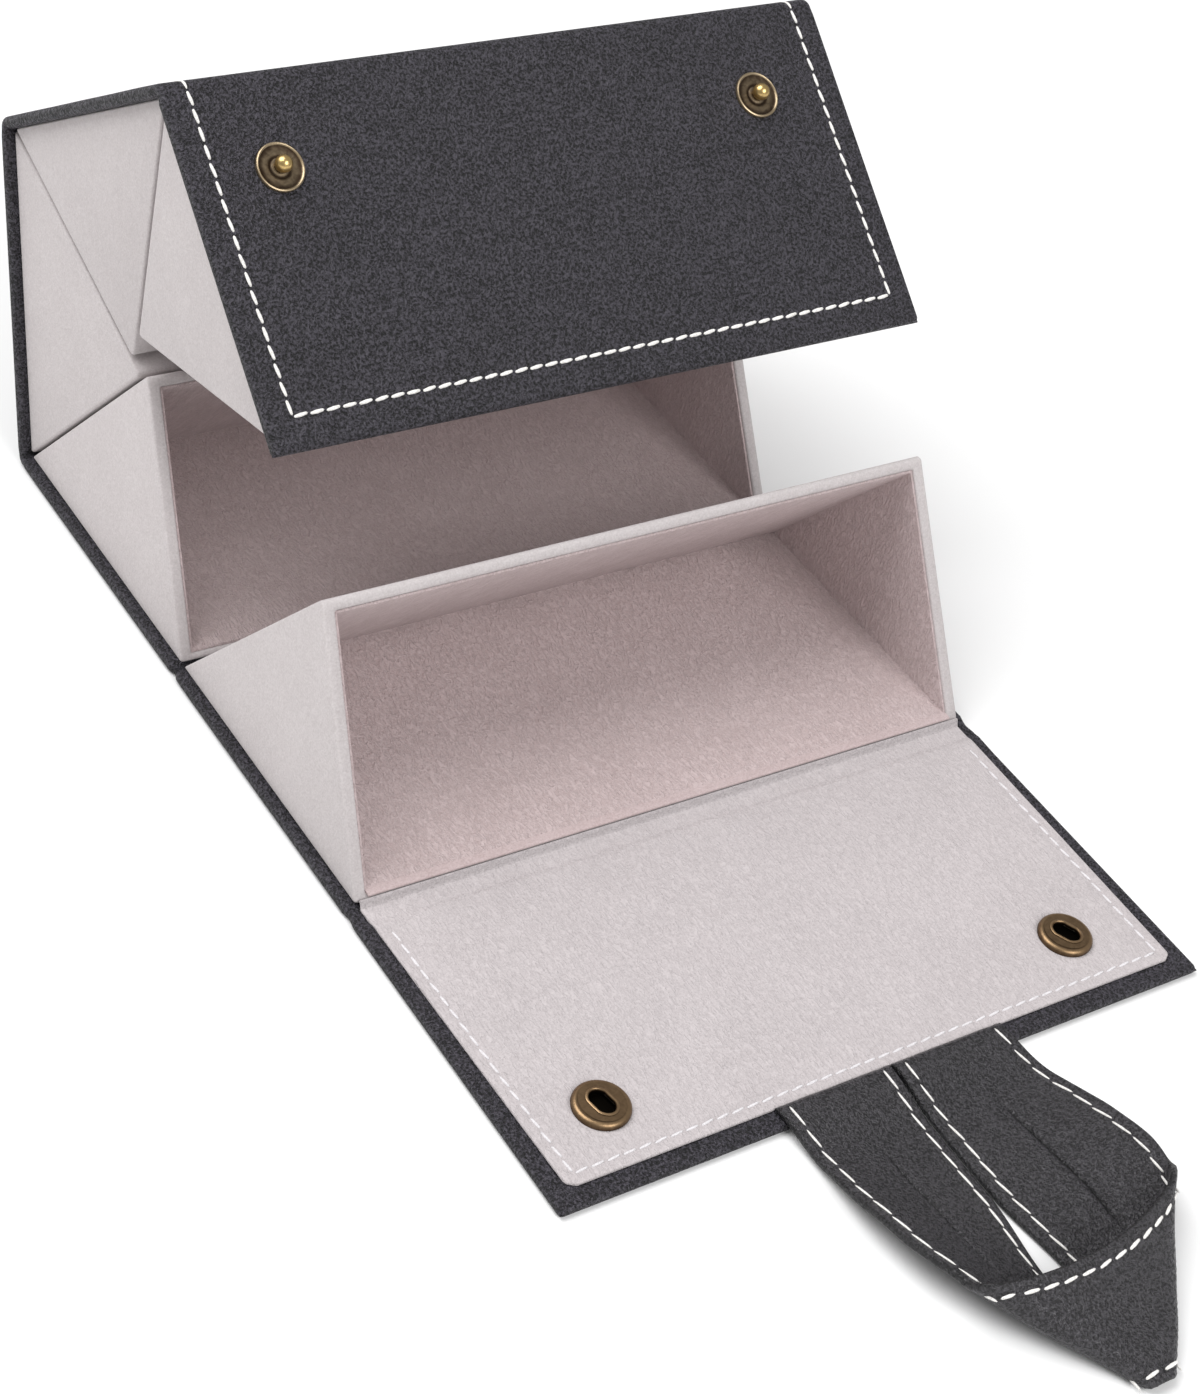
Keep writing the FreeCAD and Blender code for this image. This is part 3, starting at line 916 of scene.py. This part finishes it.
dishes = [turned_part(DISH, (x, STUD_ALONG), outside_last_panel) for x in SNAP_CENTRES]
posts = [turned_part(POST, (x, STUD_ALONG), outside_last_panel) for x in SNAP_CENTRES]
snap_piece("snap_stud_dishes", dishes, brass, "compartment_e", "stud_dishes")
snap_piece("snap_stud_balls", posts, ball_brass, "compartment_e", "stud_posts")

socket_low, socket_high = (1000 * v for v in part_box("snap_sockets"))
SOCKET_Y = (socket_low.y + socket_high.y) / 2
LINING_TOP = socket_low.z


def slot_outline(angle):
    """Half width of the waisted slot in each direction, long across angle 0."""
    long_half, wide_half = 3.3, 2.45
    oval = 1 / np.sqrt((np.cos(angle) / long_half) ** 2 + (np.sin(angle) / wide_half) ** 2)
    return oval - 0.32 * np.exp(-((np.abs(np.sin(angle)) - 1) / 0.12) ** 2)


# The last rings of the socket, with values below 0, carry painted shade inside the slot.
SOCKET = [
    (5.9, -0.4, 0.0), (6.4, 0.0, 0.1), (6.5, 0.5, 0.25), (6.4, 1.0, 0.4), (6.1, 1.4, 0.7),
    (5.7, 1.62, 0.85), (5.4, 1.66, 0.6), (5.15, 1.6, 0.4), (4.8, 1.66, 0.5), (4.3, 1.74, 0.5, 0.3),
    (1.1, 1.8, 0.5, 0.75), (0.75, 1.95, 0.8, 1), (0.5, 2.08, 1.0, 1), (0.25, 2.08, 1.0, 1),
    (0.05, 1.9, 0.7, 1), (0.0, 1.5, -0.6, 1), (0.1, 0.6, -1.0, 1), (-0.1, 0.25, -1.0, 1),
]


def on_lining(x, y, h):
    return points(x, y, LINING_TOP + h)


sockets = [
    turned_part(SOCKET, (x, SOCKET_Y), on_lining, tilt, slot_outline)
    for x, tilt in zip(SNAP_CENTRES, SLOT_TILT)
]
snap_piece("snap_socket_rings", sockets, socket_brass, "flap", "snap_sockets")

CAP = [
    (0.02, 0.02, 0.7), (3.0, 0.02, 0.7), (5.0, 0.06, 0.8), (5.8, 0.2, 1.0), (6.15, 0.42, 0.7),
    (6.1, 0.6, 0.2), (3.0, 0.62, 0.0), (2.7, 0.7, 0.0), (2.7, 3.1, 0.0), (0.02, 3.1, 0.0),
]
caps = [turned_part(CAP, (x, SOCKET_Y), flat_in_frame) for x in SNAP_CENTRES]
snap_piece("snap_caps_outside", caps, brass, "flap", "snap_caps")
print("snaps at x", SNAP_CENTRES, "sockets at y", round(SOCKET_Y, 1))

# %% [markdown]
# The handle is one strip of leather. It leaves the flap, runs forward, is folded over along a
# diagonal, crosses to the other side, is folded over again and runs back, so that the two
# diagonals make a point. We keep that as a rule: u is the distance along the strip from its
# middle, t the distance across it from the inner edge. Where u is less than t the strip lies
# in the turned-over nose, otherwise in a band, and the diagonal between them is a round bend.
# The bands' outer edges and the nose stand up from the table, as a stiff strap does.

# %% Shape of the handle strip
handle_low, handle_high = (1000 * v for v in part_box("handle_strap"))
STRAP_MIDDLE = (handle_low.x + handle_high.x) / 2
STRAP_POINT = handle_low.y
BAND = 26.8            # width of the strip
HALF_SLIT = 2.85       # half the gap between the bands, at the nose
STRAP_THICK = 1.8
STRAP_SEW = 2.3        # stitch rows, in from both edges
STRAP_ROUND = 0.75     # radius of the strip's edges
NOSE_RISE = 8.2        # how far the diagonals climb from the point to the outer edge
NOSE_CROWN = 0.7       # the middle of the nose is fuller than its sides
NOSE_SWEEP = 6.2       # and its edge is an arch; the outer edges lie this far behind the point
SIDE_SKEW = 0.12       # the right side lies further back than the left
CLOSING = 2.5          # the bands close up behind the nose
BULGE = 4.6            # while their outer edges bow out
BELLY = 0.8            # a band that stands up is hollow across its width
DRIFT, OUTER_DRIFT = 2.8, 1.8      # the whole loop leans to one side, its outer edges more
STRAP_LENGTH = flap_front + 4.2 - STRAP_POINT

# Height of the underside of a band at its inner and outer edge, by distance from the point.
AWAY_FROM_POINT = [0, 30, 42, 54, 66, 74, 79, 82.7, 86, 95]
INNER_EDGE = [0.05, 0.05, 0.05, 0.05, 0.05, 0.2, 1.2, 2.35, 2.5, 2.5]
OUTER_RISE = [NOSE_RISE, NOSE_RISE, 7.5, 5.5, 2.4, 0.6, 0.2, 0, 0, 0]


def eased(at, table):
    """The table's value, with its corners rounded off over a few mm."""
    shifts = np.linspace(-4, 4, 9)
    weights = np.cos(shifts / 5.2 * math.pi / 2) ** 2
    values = [w * np.interp(at + s, AWAY_FROM_POINT, table) for s, w in zip(shifts, weights)]
    return sum(values) / weights.sum()


def strip_middle(u, t):
    """Middle surface of the strip in the frame, in mm, from flat strip coordinates."""
    side = np.where(u < 0, -1.0, 1.0)
    along = np.abs(u)
    radius = 0.8 + 0.4 * smooth_step((t + 2) / 9) + 0.9 * smooth_step((t - 13) / 15)
    past = (along - t - HALF_SLIT) / math.sqrt(2)
    quarter = math.pi * radius / 2
    bent = np.abs(past) < quarter
    theta = np.clip(past / radius, -math.pi / 2, math.pi / 2)
    inward = np.where(bent, -radius * np.cos(theta), np.abs(past) - quarter)
    lift = radius * (1 - np.sin(theta))
    foot = t + past / math.sqrt(2)
    corner = quarter / math.sqrt(2)
    x = HALF_SLIT + foot - corner - inward / math.sqrt(2)
    y = foot + corner + inward / math.sqrt(2)
    spread = t + np.clip(past, -quarter, 0) / math.sqrt(2)
    share = np.clip(spread / BAND, 0, 1)
    z = STRAP_THICK / 2 + eased(y, INNER_EDGE) + eased(y, OUTER_RISE) * share ** 1.1 + lift
    in_nose = smooth_step(-past / 3.0)
    across = np.clip(along / (t + HALF_SLIT), 0, 1)
    z = z + in_nose * NOSE_CROWN * (t / BAND) * (1 - across ** 2)
    y = y + NOSE_SWEEP * share * (1 - smooth_step((y - 34) / 40))
    y = y - in_nose * NOSE_SWEEP * (t / BAND) * (1 - across ** 2)
    y = y + SIDE_SKEW * side * x * share * (1 - smooth_step((y - 34) / 40))
    x = x - CLOSING * smooth_step((y - 29) / 24) * (1 - 0.6 * t / BAND)
    x = x + BULGE * share * smooth_step((y - 30) / 18) * (1 - 0.5 * smooth_step((y - 58) / 28))
    belly = BELLY * np.sin(math.pi * np.clip(t / BAND, 0, 1)) * smooth_step((y - 24) / 14)
    z = z - belly * np.clip(eased(y, OUTER_RISE) / NOSE_RISE, 0, 1)
    drift = DRIFT * smooth_step((y - 8) / 24) * (1 - share * (1 - smooth_step((y - 64) / 26)))
    drift = drift - OUTER_DRIFT * share * (1 - smooth_step((y - 34) / 30))
    return points(STRAP_MIDDLE - drift + side * x, STRAP_POINT + y, z)


def strip_normal(u, t):
    """Direction square to the strip, on the side that faces up on the bands."""
    step = 0.05
    along = strip_middle(u + step, t) - strip_middle(u - step, t)
    across = strip_middle(u, t + step) - strip_middle(u, t - step)
    normal = np.cross(across, along)
    return normal / np.maximum(np.linalg.norm(normal, axis=-1, keepdims=True), 1e-9)


probe = strip_middle(np.array([0.0, 30.0, 80.0]), np.array([BAND, BAND, 0.0]))
print("nose edge, corner and inner edge at", probe.round(1).tolist())

# %% [markdown]
# With the rule for its middle surface, the strap is a closed sheet again: half its thickness to
# each side, thinned towards its edges so that they are round, with a sunk seam down the middle
# of each band.

# %% Handle strap
def handle_strap():
    end = STRAP_LENGTH + HALF_SLIT
    plain = list(np.arange(0, end, 1.1)) + [end]
    along = np.array([-u for u in plain[:0:-1]] + plain)
    seam = [BAND / 2 + d for d in (-0.6, -0.3, -0.12, 0, 0.12, 0.3, 0.6)]
    edge = [0, 0.05, 0.18, 0.4, STRAP_ROUND] + groove_steps(STRAP_SEW, 0.8)
    rows = edge + [BAND - t for t in edge] + seam
    across = spaced(rows, step=0.9, low=0, high=BAND)
    u, t = np.meshgrid(along, across, indexing="ij")
    inset = np.minimum(t, BAND - t)
    tip = smooth_step((t + np.abs(u) + 1) / 12)
    half = STRAP_THICK / 2 - 0.2 * (1 - tip) - edge_drop(STRAP_ROUND, inset, end - np.abs(u))
    sewn = 0.13 * groove(inset - STRAP_SEW, 0.8)
    fade = smooth_step((np.abs(u) - t - 12) / 14) * smooth_step((78 - np.abs(u)) / 14)
    seam_depth = 0.6 * groove(t - BAND / 2, 0.6) * fade
    quilt = 0.10 * np.sin(u / 6.0 + t / 4.0) * np.sin(t / 3.1 + 1) * smooth_step(inset / 4)
    middle, normal = strip_middle(u, t), strip_normal(u, t)
    upper = middle + normal * (half - sewn - seam_depth + quilt)[..., None]
    lower = middle - normal * (half - sewn - quilt)[..., None]
    coords, faces = closed_sheet(upper, lower)
    piece = finish_mesh("handle_strap_leather", coords, faces, strap_leather, 50)
    # Painted shade: the cut sides, and the middle seam of each band on the upper face, are coloured darker.
    sides = EDGE_SHADE * (inset < 0.2)
    darkened(piece, np.maximum(groove(t - BAND / 2, 0.4) * fade, sides), sides)
    blend_handle(piece)
    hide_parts("handle_strap", "strap_tabs")
    print("strap faces:", len(piece.data.polygons))


def blend_handle(piece):
    y, z = axis_point("handle_swing") / 1000
    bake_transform(piece)


handle_strap()

# %% [markdown]
# Stitches are the same small thread shape repeated at an even pitch along a line, which is what
# Geometry Nodes are for. The tree takes a line whose points carry the direction `outward`, puts
# a point every few mm, lays a flattened bead of thread on each, turned along the line and
# slanted a little as lockstitch is, and ends in plain mesh. One tree does every seam.

# %% Stitch tree
def stitch_tree():
    tree = bpy.data.node_groups.new("stitches_along_a_line", "GeometryNodeTree")
    face = tree.interface
    face.new_socket("Line", in_out="INPUT", socket_type="NodeSocketGeometry")
    for name, kind, value in (
        ("Pitch", "NodeSocketFloat", 0.0039), ("Length", "NodeSocketFloat", 0.0031),
        ("Width", "NodeSocketFloat", 0.0007), ("Height", "NodeSocketFloat", 0.0005),
        ("Slant", "NodeSocketFloat", 0.1), ("Seed", "NodeSocketInt", 7),
    ):
        face.new_socket(name, in_out="INPUT", socket_type=kind).default_value = value
    face.new_socket("Thread", in_out="INPUT", socket_type="NodeSocketMaterial")
    face.new_socket("Stitches", in_out="OUTPUT", socket_type="NodeSocketGeometry")

    def add(kind, links=(), values=(), **properties):
        node = tree.nodes.new(kind)
        for key, value in properties.items():
            setattr(node, key, value)
        for key, value in dict(values).items():
            node.inputs[key].default_value = value
        for key, socket in dict(links).items():
            tree.links.new(socket, node.inputs[key])
        return node

    given = add("NodeGroupInput").outputs
    curve = add("GeometryNodeMeshToCurve", {"Mesh": given["Line"]})
    line = {"Curve": curve.outputs[0], "Length": given["Pitch"]}
    spots = add("GeometryNodeResampleCurve", line, mode="LENGTH")
    bead = add("GeometryNodeMeshUVSphere", values={"Segments": 8, "Rings": 5, "Radius": 0.5})
    size = add("ShaderNodeCombineXYZ", {0: given["Length"], 1: given["Width"], 2: given["Height"]})
    at = add("ShaderNodeSeparateXYZ", {0: add("GeometryNodeInputPosition").outputs[0]}).outputs
    squared = add("ShaderNodeMath", {0: at[0], 1: at[0]}, operation="MULTIPLY")
    fuller = add("ShaderNodeMath", {0: squared.outputs[0]}, {1: -1.6, 2: 1.4}, operation="MULTIPLY_ADD")
    stretched = add("ShaderNodeMath", {0: at[0], 1: fuller.outputs[0]}, operation="MULTIPLY")
    moved = add("ShaderNodeCombineXYZ", {0: stretched.outputs[0], 1: at[1], 2: at[2]})
    blunt = add("GeometryNodeSetPosition", {0: bead.outputs["Mesh"], "Position": moved.outputs[0]})
    shaped = add("GeometryNodeTransform", {"Geometry": blunt.outputs[0], "Scale": size.outputs[0]})
    smooth = add("GeometryNodeSetShadeSmooth", {0: shaped.outputs[0]})
    tangent = add("GeometryNodeInputTangent")
    outward = add("GeometryNodeInputNamedAttribute", values={"Name": "outward"}, data_type="FLOAT_VECTOR")
    lengthways = add("FunctionNodeAlignRotationToVector", {"Vector": tangent.outputs[0]}, axis="X")
    upright = add(
        "FunctionNodeAlignRotationToVector",
        {"Rotation": lengthways.outputs[0], "Vector": outward.outputs[0]}, axis="Z", pivot_axis="X",
    )
    jitter = add("FunctionNodeRandomValue", {"Seed": given["Seed"]}, data_type="FLOAT")
    jitter.inputs[2].default_value, jitter.inputs[3].default_value = -0.05, 0.05
    slant = add("ShaderNodeMath", {0: given["Slant"], 1: jitter.outputs[1]}, operation="ADD")
    about_up = add("ShaderNodeCombineXYZ", {2: slant.outputs[0]})
    twist = add("FunctionNodeEulerToRotation", {0: about_up.outputs[0]})
    slanted = add(
        "FunctionNodeRotateRotation",
        {"Rotation": upright.outputs[0], "Rotate By": twist.outputs[0]}, rotation_space="LOCAL",
    )
    laid = add("GeometryNodeInstanceOnPoints", {
        "Points": spots.outputs[0], "Instance": smooth.outputs[0], "Rotation": slanted.outputs[0],
    })
    real = add("GeometryNodeRealizeInstances", {0: laid.outputs[0]})
    coloured = add("GeometryNodeSetMaterial", {"Geometry": real.outputs[0], "Material": given["Thread"]})
    add("NodeGroupOutput", {"Stitches": coloured.outputs[0]})
    return tree


stitches = stitch_tree()


def sew(name, seams, of, **sizes):
    """One mesh of stitches along seams, each a row of points in mm and their outward directions."""
    coords = np.concatenate([seam[0] for seam in seams]) / 1000
    outward = np.concatenate([seam[1] for seam in seams])
    edges, start = [], 0
    for seam in seams:
        edges += [(start + k, start + k + 1) for k in range(len(seam[0]) - 1)]
        start += len(seam[0])
    line = bpy.data.meshes.new(name + "_line")
    line.from_pydata(coords.tolist(), edges, [])
    values = line.attributes.new("outward", "FLOAT_VECTOR", "POINT")
    values.data.foreach_set("vector", outward.astype(np.float32).ravel())
    carrier = bpy.data.objects.new(name + "_line", line)
    bpy.context.scene.collection.objects.link(carrier)
    modifier = carrier.modifiers.new("stitches", "NODES")
    modifier.node_group = stitches
    settings = {key.capitalize(): value / 1000 for key, value in sizes.items()}
    settings["Thread"] = of
    for item in stitches.interface.items_tree:
        if item.in_out == "INPUT" and item.name in settings:
            modifier[item.identifier] = settings[item.name]
    shown = carrier.evaluated_get(bpy.context.evaluated_depsgraph_get())
    mesh = bpy.data.meshes.new_from_object(shown)
    mesh.name = name
    if "outward" in mesh.attributes:
        mesh.attributes.remove(mesh.attributes["outward"])
    piece = bpy.data.objects.new(name, mesh)
    bpy.context.scene.collection.objects.link(piece)
    bpy.data.objects.remove(carrier)
    bpy.data.meshes.remove(line)
    print(name, "faces:", len(mesh.polygons))
    return piece


# %% [markdown]
# On each compartment's panel a row runs along both sides of the outer face. The last panel has
# a third row across its free end. The rows stop 2 mm short of each fold, so that over a flat
# fold the pitch carries on by itself; over a rolled fold one stitch, bent round the corner,
# fills in between.

# %% Stitches on the outer faces
SEW_X = HALF - SEW_IN
THREAD_LEVEL = GROOVE - 0.02       # height of a thread's middle above the leather's own face
CORNER_STOP = 2.1      # a row across an end starts this far in from the corner


def seam_on(place, x, v, h, toward):
    """A seam through (x, v, h), with its outward direction found from the panel's own place."""
    at = place(x, v, h)
    outward = place(x, v, h + toward) - at
    return at, outward / np.linalg.norm(outward, axis=-1, keepdims=True)


for index, name in enumerate(NAMES):
    place = on_panel(index)
    first = 2.5 if name == "a" else 2.0
    last = PITCH - LAST_REACH - SEW_IN_END if name == "e" else PITCH - 2.0
    v = np.linspace(first, last - (1.95 if name == "e" else 0), 30)
    level = -COVER + THREAD_LEVEL
    seams = [seam_on(place, side * SEW_X, v, level, -1.0) for side in (-1, 1)]
    if name == "e":
        x = np.linspace(-SEW_X, SEW_X, 30) * (1 - CORNER_STOP / SEW_X)
        seams.append(seam_on(place, x, last, level, -1.0))
    row = sew("stitches_" + name, seams, thread, pitch=3.9, length=3.5, width=0.92, height=0.64)
    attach(row, "compartment_" + name)


def thread_round_fold(index):
    """A bent thread over the outside of a rolled fold, one at each side."""
    place = round_fold(index)
    stations = np.linspace(0.06, 0.94, 9)
    angles = np.linspace(0, 2 * math.pi, 8, endpoint=False)
    coords, faces = [], []
    for side in (-1, 1):
        faces += ring_stack_faces(len(stations), len(angles), len(coords) * len(angles))
        for s in stations:
            full = math.sqrt(max(0.0, 1 - ((s - 0.5) / 0.47) ** 2))
            x = side * SEW_X + 0.39 * full * np.cos(angles) + side * 0.15 * (s - 0.5)
            h = -COVER + GROOVE - 0.31 * full * np.sin(angles)
            coords.append(place(x, np.full_like(x, s), h))
    name = "stitches_fold_" + NAMES[index] + NAMES[index + 1]
    piece = finish_mesh(name, np.concatenate(coords), faces, thread, 60)
    blend_fold(piece, index)


for index in (1, 2, 3):
    thread_round_fold(index)

# %% [markdown]
# The flap is sewn through: bright stitches on the leather underneath, and the same row showing
# faintly in the nap of the lining. The strap has a row along each edge on both of its faces.

# %% Stitches on the flap and the handle
def rim_seams(place, half, front, rear, level, toward):
    """Seams along both sides and across the front, of the flap or of its lining."""
    y = np.linspace(rear, front + 2, 30)
    x = np.linspace(-half, half, 40) * (1 - CORNER_STOP / half)
    sides = [seam_on(place, side * half, y, level, toward) for side in (-1, 1)]
    return sides + [seam_on(flat_in_frame, x, front, level, toward)]


flap_seams = rim_seams(narrowed, SEW_X, flap_front + SEW_IN_END, flap_rear - 1.0, THREAD_LEVEL, -1.0)
lining_seams = rim_seams(
    lining_shape, LINING_HALF - LINING_SEW, lining_low.y + LINING_SEW, flap_axis[0] - 2.0,
    lining_high.z - 0.10, 1.0,
)
for name, seams, yarn in (
    ("stitches_flap", flap_seams, thread), ("stitches_lining", lining_seams, lining_thread),
):
    row = sew(name, seams, of=yarn, pitch=3.9, length=3.4, width=0.7, height=0.5)
    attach(row, "flap")


def strap_seam(t, side, first, last):
    u = np.linspace(first, last, 200)
    across = np.full_like(u, t)
    normal = strip_normal(u, across) * side
    at = strip_middle(u, across) + normal * (STRAP_THICK / 2 - 0.12)
    return at, normal


bands, nose = [], []
end = STRAP_LENGTH - 1
for t in (STRAP_SEW, BAND - STRAP_SEW):
    turn = t + HALF_SLIT
    for side in (-1, 1):
        bands += [strap_seam(t, side, turn + 1.0, end), strap_seam(t, side, -end, -turn - 1.0)]
        low = min(t, BAND - 2.9)
        nose.append(strap_seam(low, side, -low - HALF_SLIT + 2.6, low + HALF_SLIT - 2.6))
for name, seams, pitch, length, width in (
    ("stitches_handle_bands", bands, 5.2, 5.3, 0.62), ("stitches_handle_nose", nose, 4.3, 3.9, 0.85),
):
    strap_row = sew(name, seams, thread, pitch=pitch, length=length, width=width, height=0.6)
    blend_handle(strap_row)

# %% [markdown]
# The springs in the sockets come straight from the model: their shape is right, and they only
# need a finish.

# %% Springs
springs = frame["nodes"]["snap_springs"]
springs.data.materials.clear()
springs.data.materials.append(wire)

# %% [markdown]
# The stage is a pale floor under a pale sky, with one broad soft light from behind on the left
# and a weaker one from the front. Soft light keeps the shadows inside the compartments open.

# %% Stage and light
scene = bpy.context.scene
scene.view_settings.view_transform = "Standard"
scene.view_settings.look = "None"

floor_finish = Finish("pale_floor", (0.93, 0.93, 0.93), 0.95, Specular_IOR_Level=0.1)
floor_tone = floor_finish.noise(6, 2.0)
pale_floor = floor_finish.done(floor_finish.colours(floor_tone, (0.92, 0.92, 0.92), (0.94, 0.94, 0.94)))
floor_mesh = bpy.data.meshes.new("floor")
floor_mesh.from_pydata([(-4, -4, 0), (4, -4, 0), (4, 4, 0), (-4, 4, 0)], [], [(0, 1, 2, 3)])
floor_mesh.materials.append(pale_floor)
floor = bpy.data.objects.new("floor", floor_mesh)
scene.collection.objects.link(floor)

world = bpy.data.worlds.new("pale_sky")
world.use_nodes = True
sky = world.node_tree.nodes["Background"].inputs
sky["Color"].default_value = (1.0, 1.0, 1.0, 1)
sky["Strength"].default_value = 0.39
scene.world = world


LIT_SPOT = Vector((0, 0, 0.05))


def soft_light(name, at, size, watts):
    data = bpy.data.lights.new(name, "AREA")
    data.shape = "DISK"
    data.size = size
    data.energy = watts
    light = bpy.data.objects.new(name, data)
    scene.collection.objects.link(light)
    light.location = at
    light.rotation_euler = (LIT_SPOT - Vector(at)).to_track_quat("-Z", "Y").to_euler()


soft_light("key_light", (-0.7, 0.6, 1.5), 1.6, 28)
soft_light("fill_light", (0.15, -1.3, 1.15), 1.1, 16)
print("stage and lights ready")
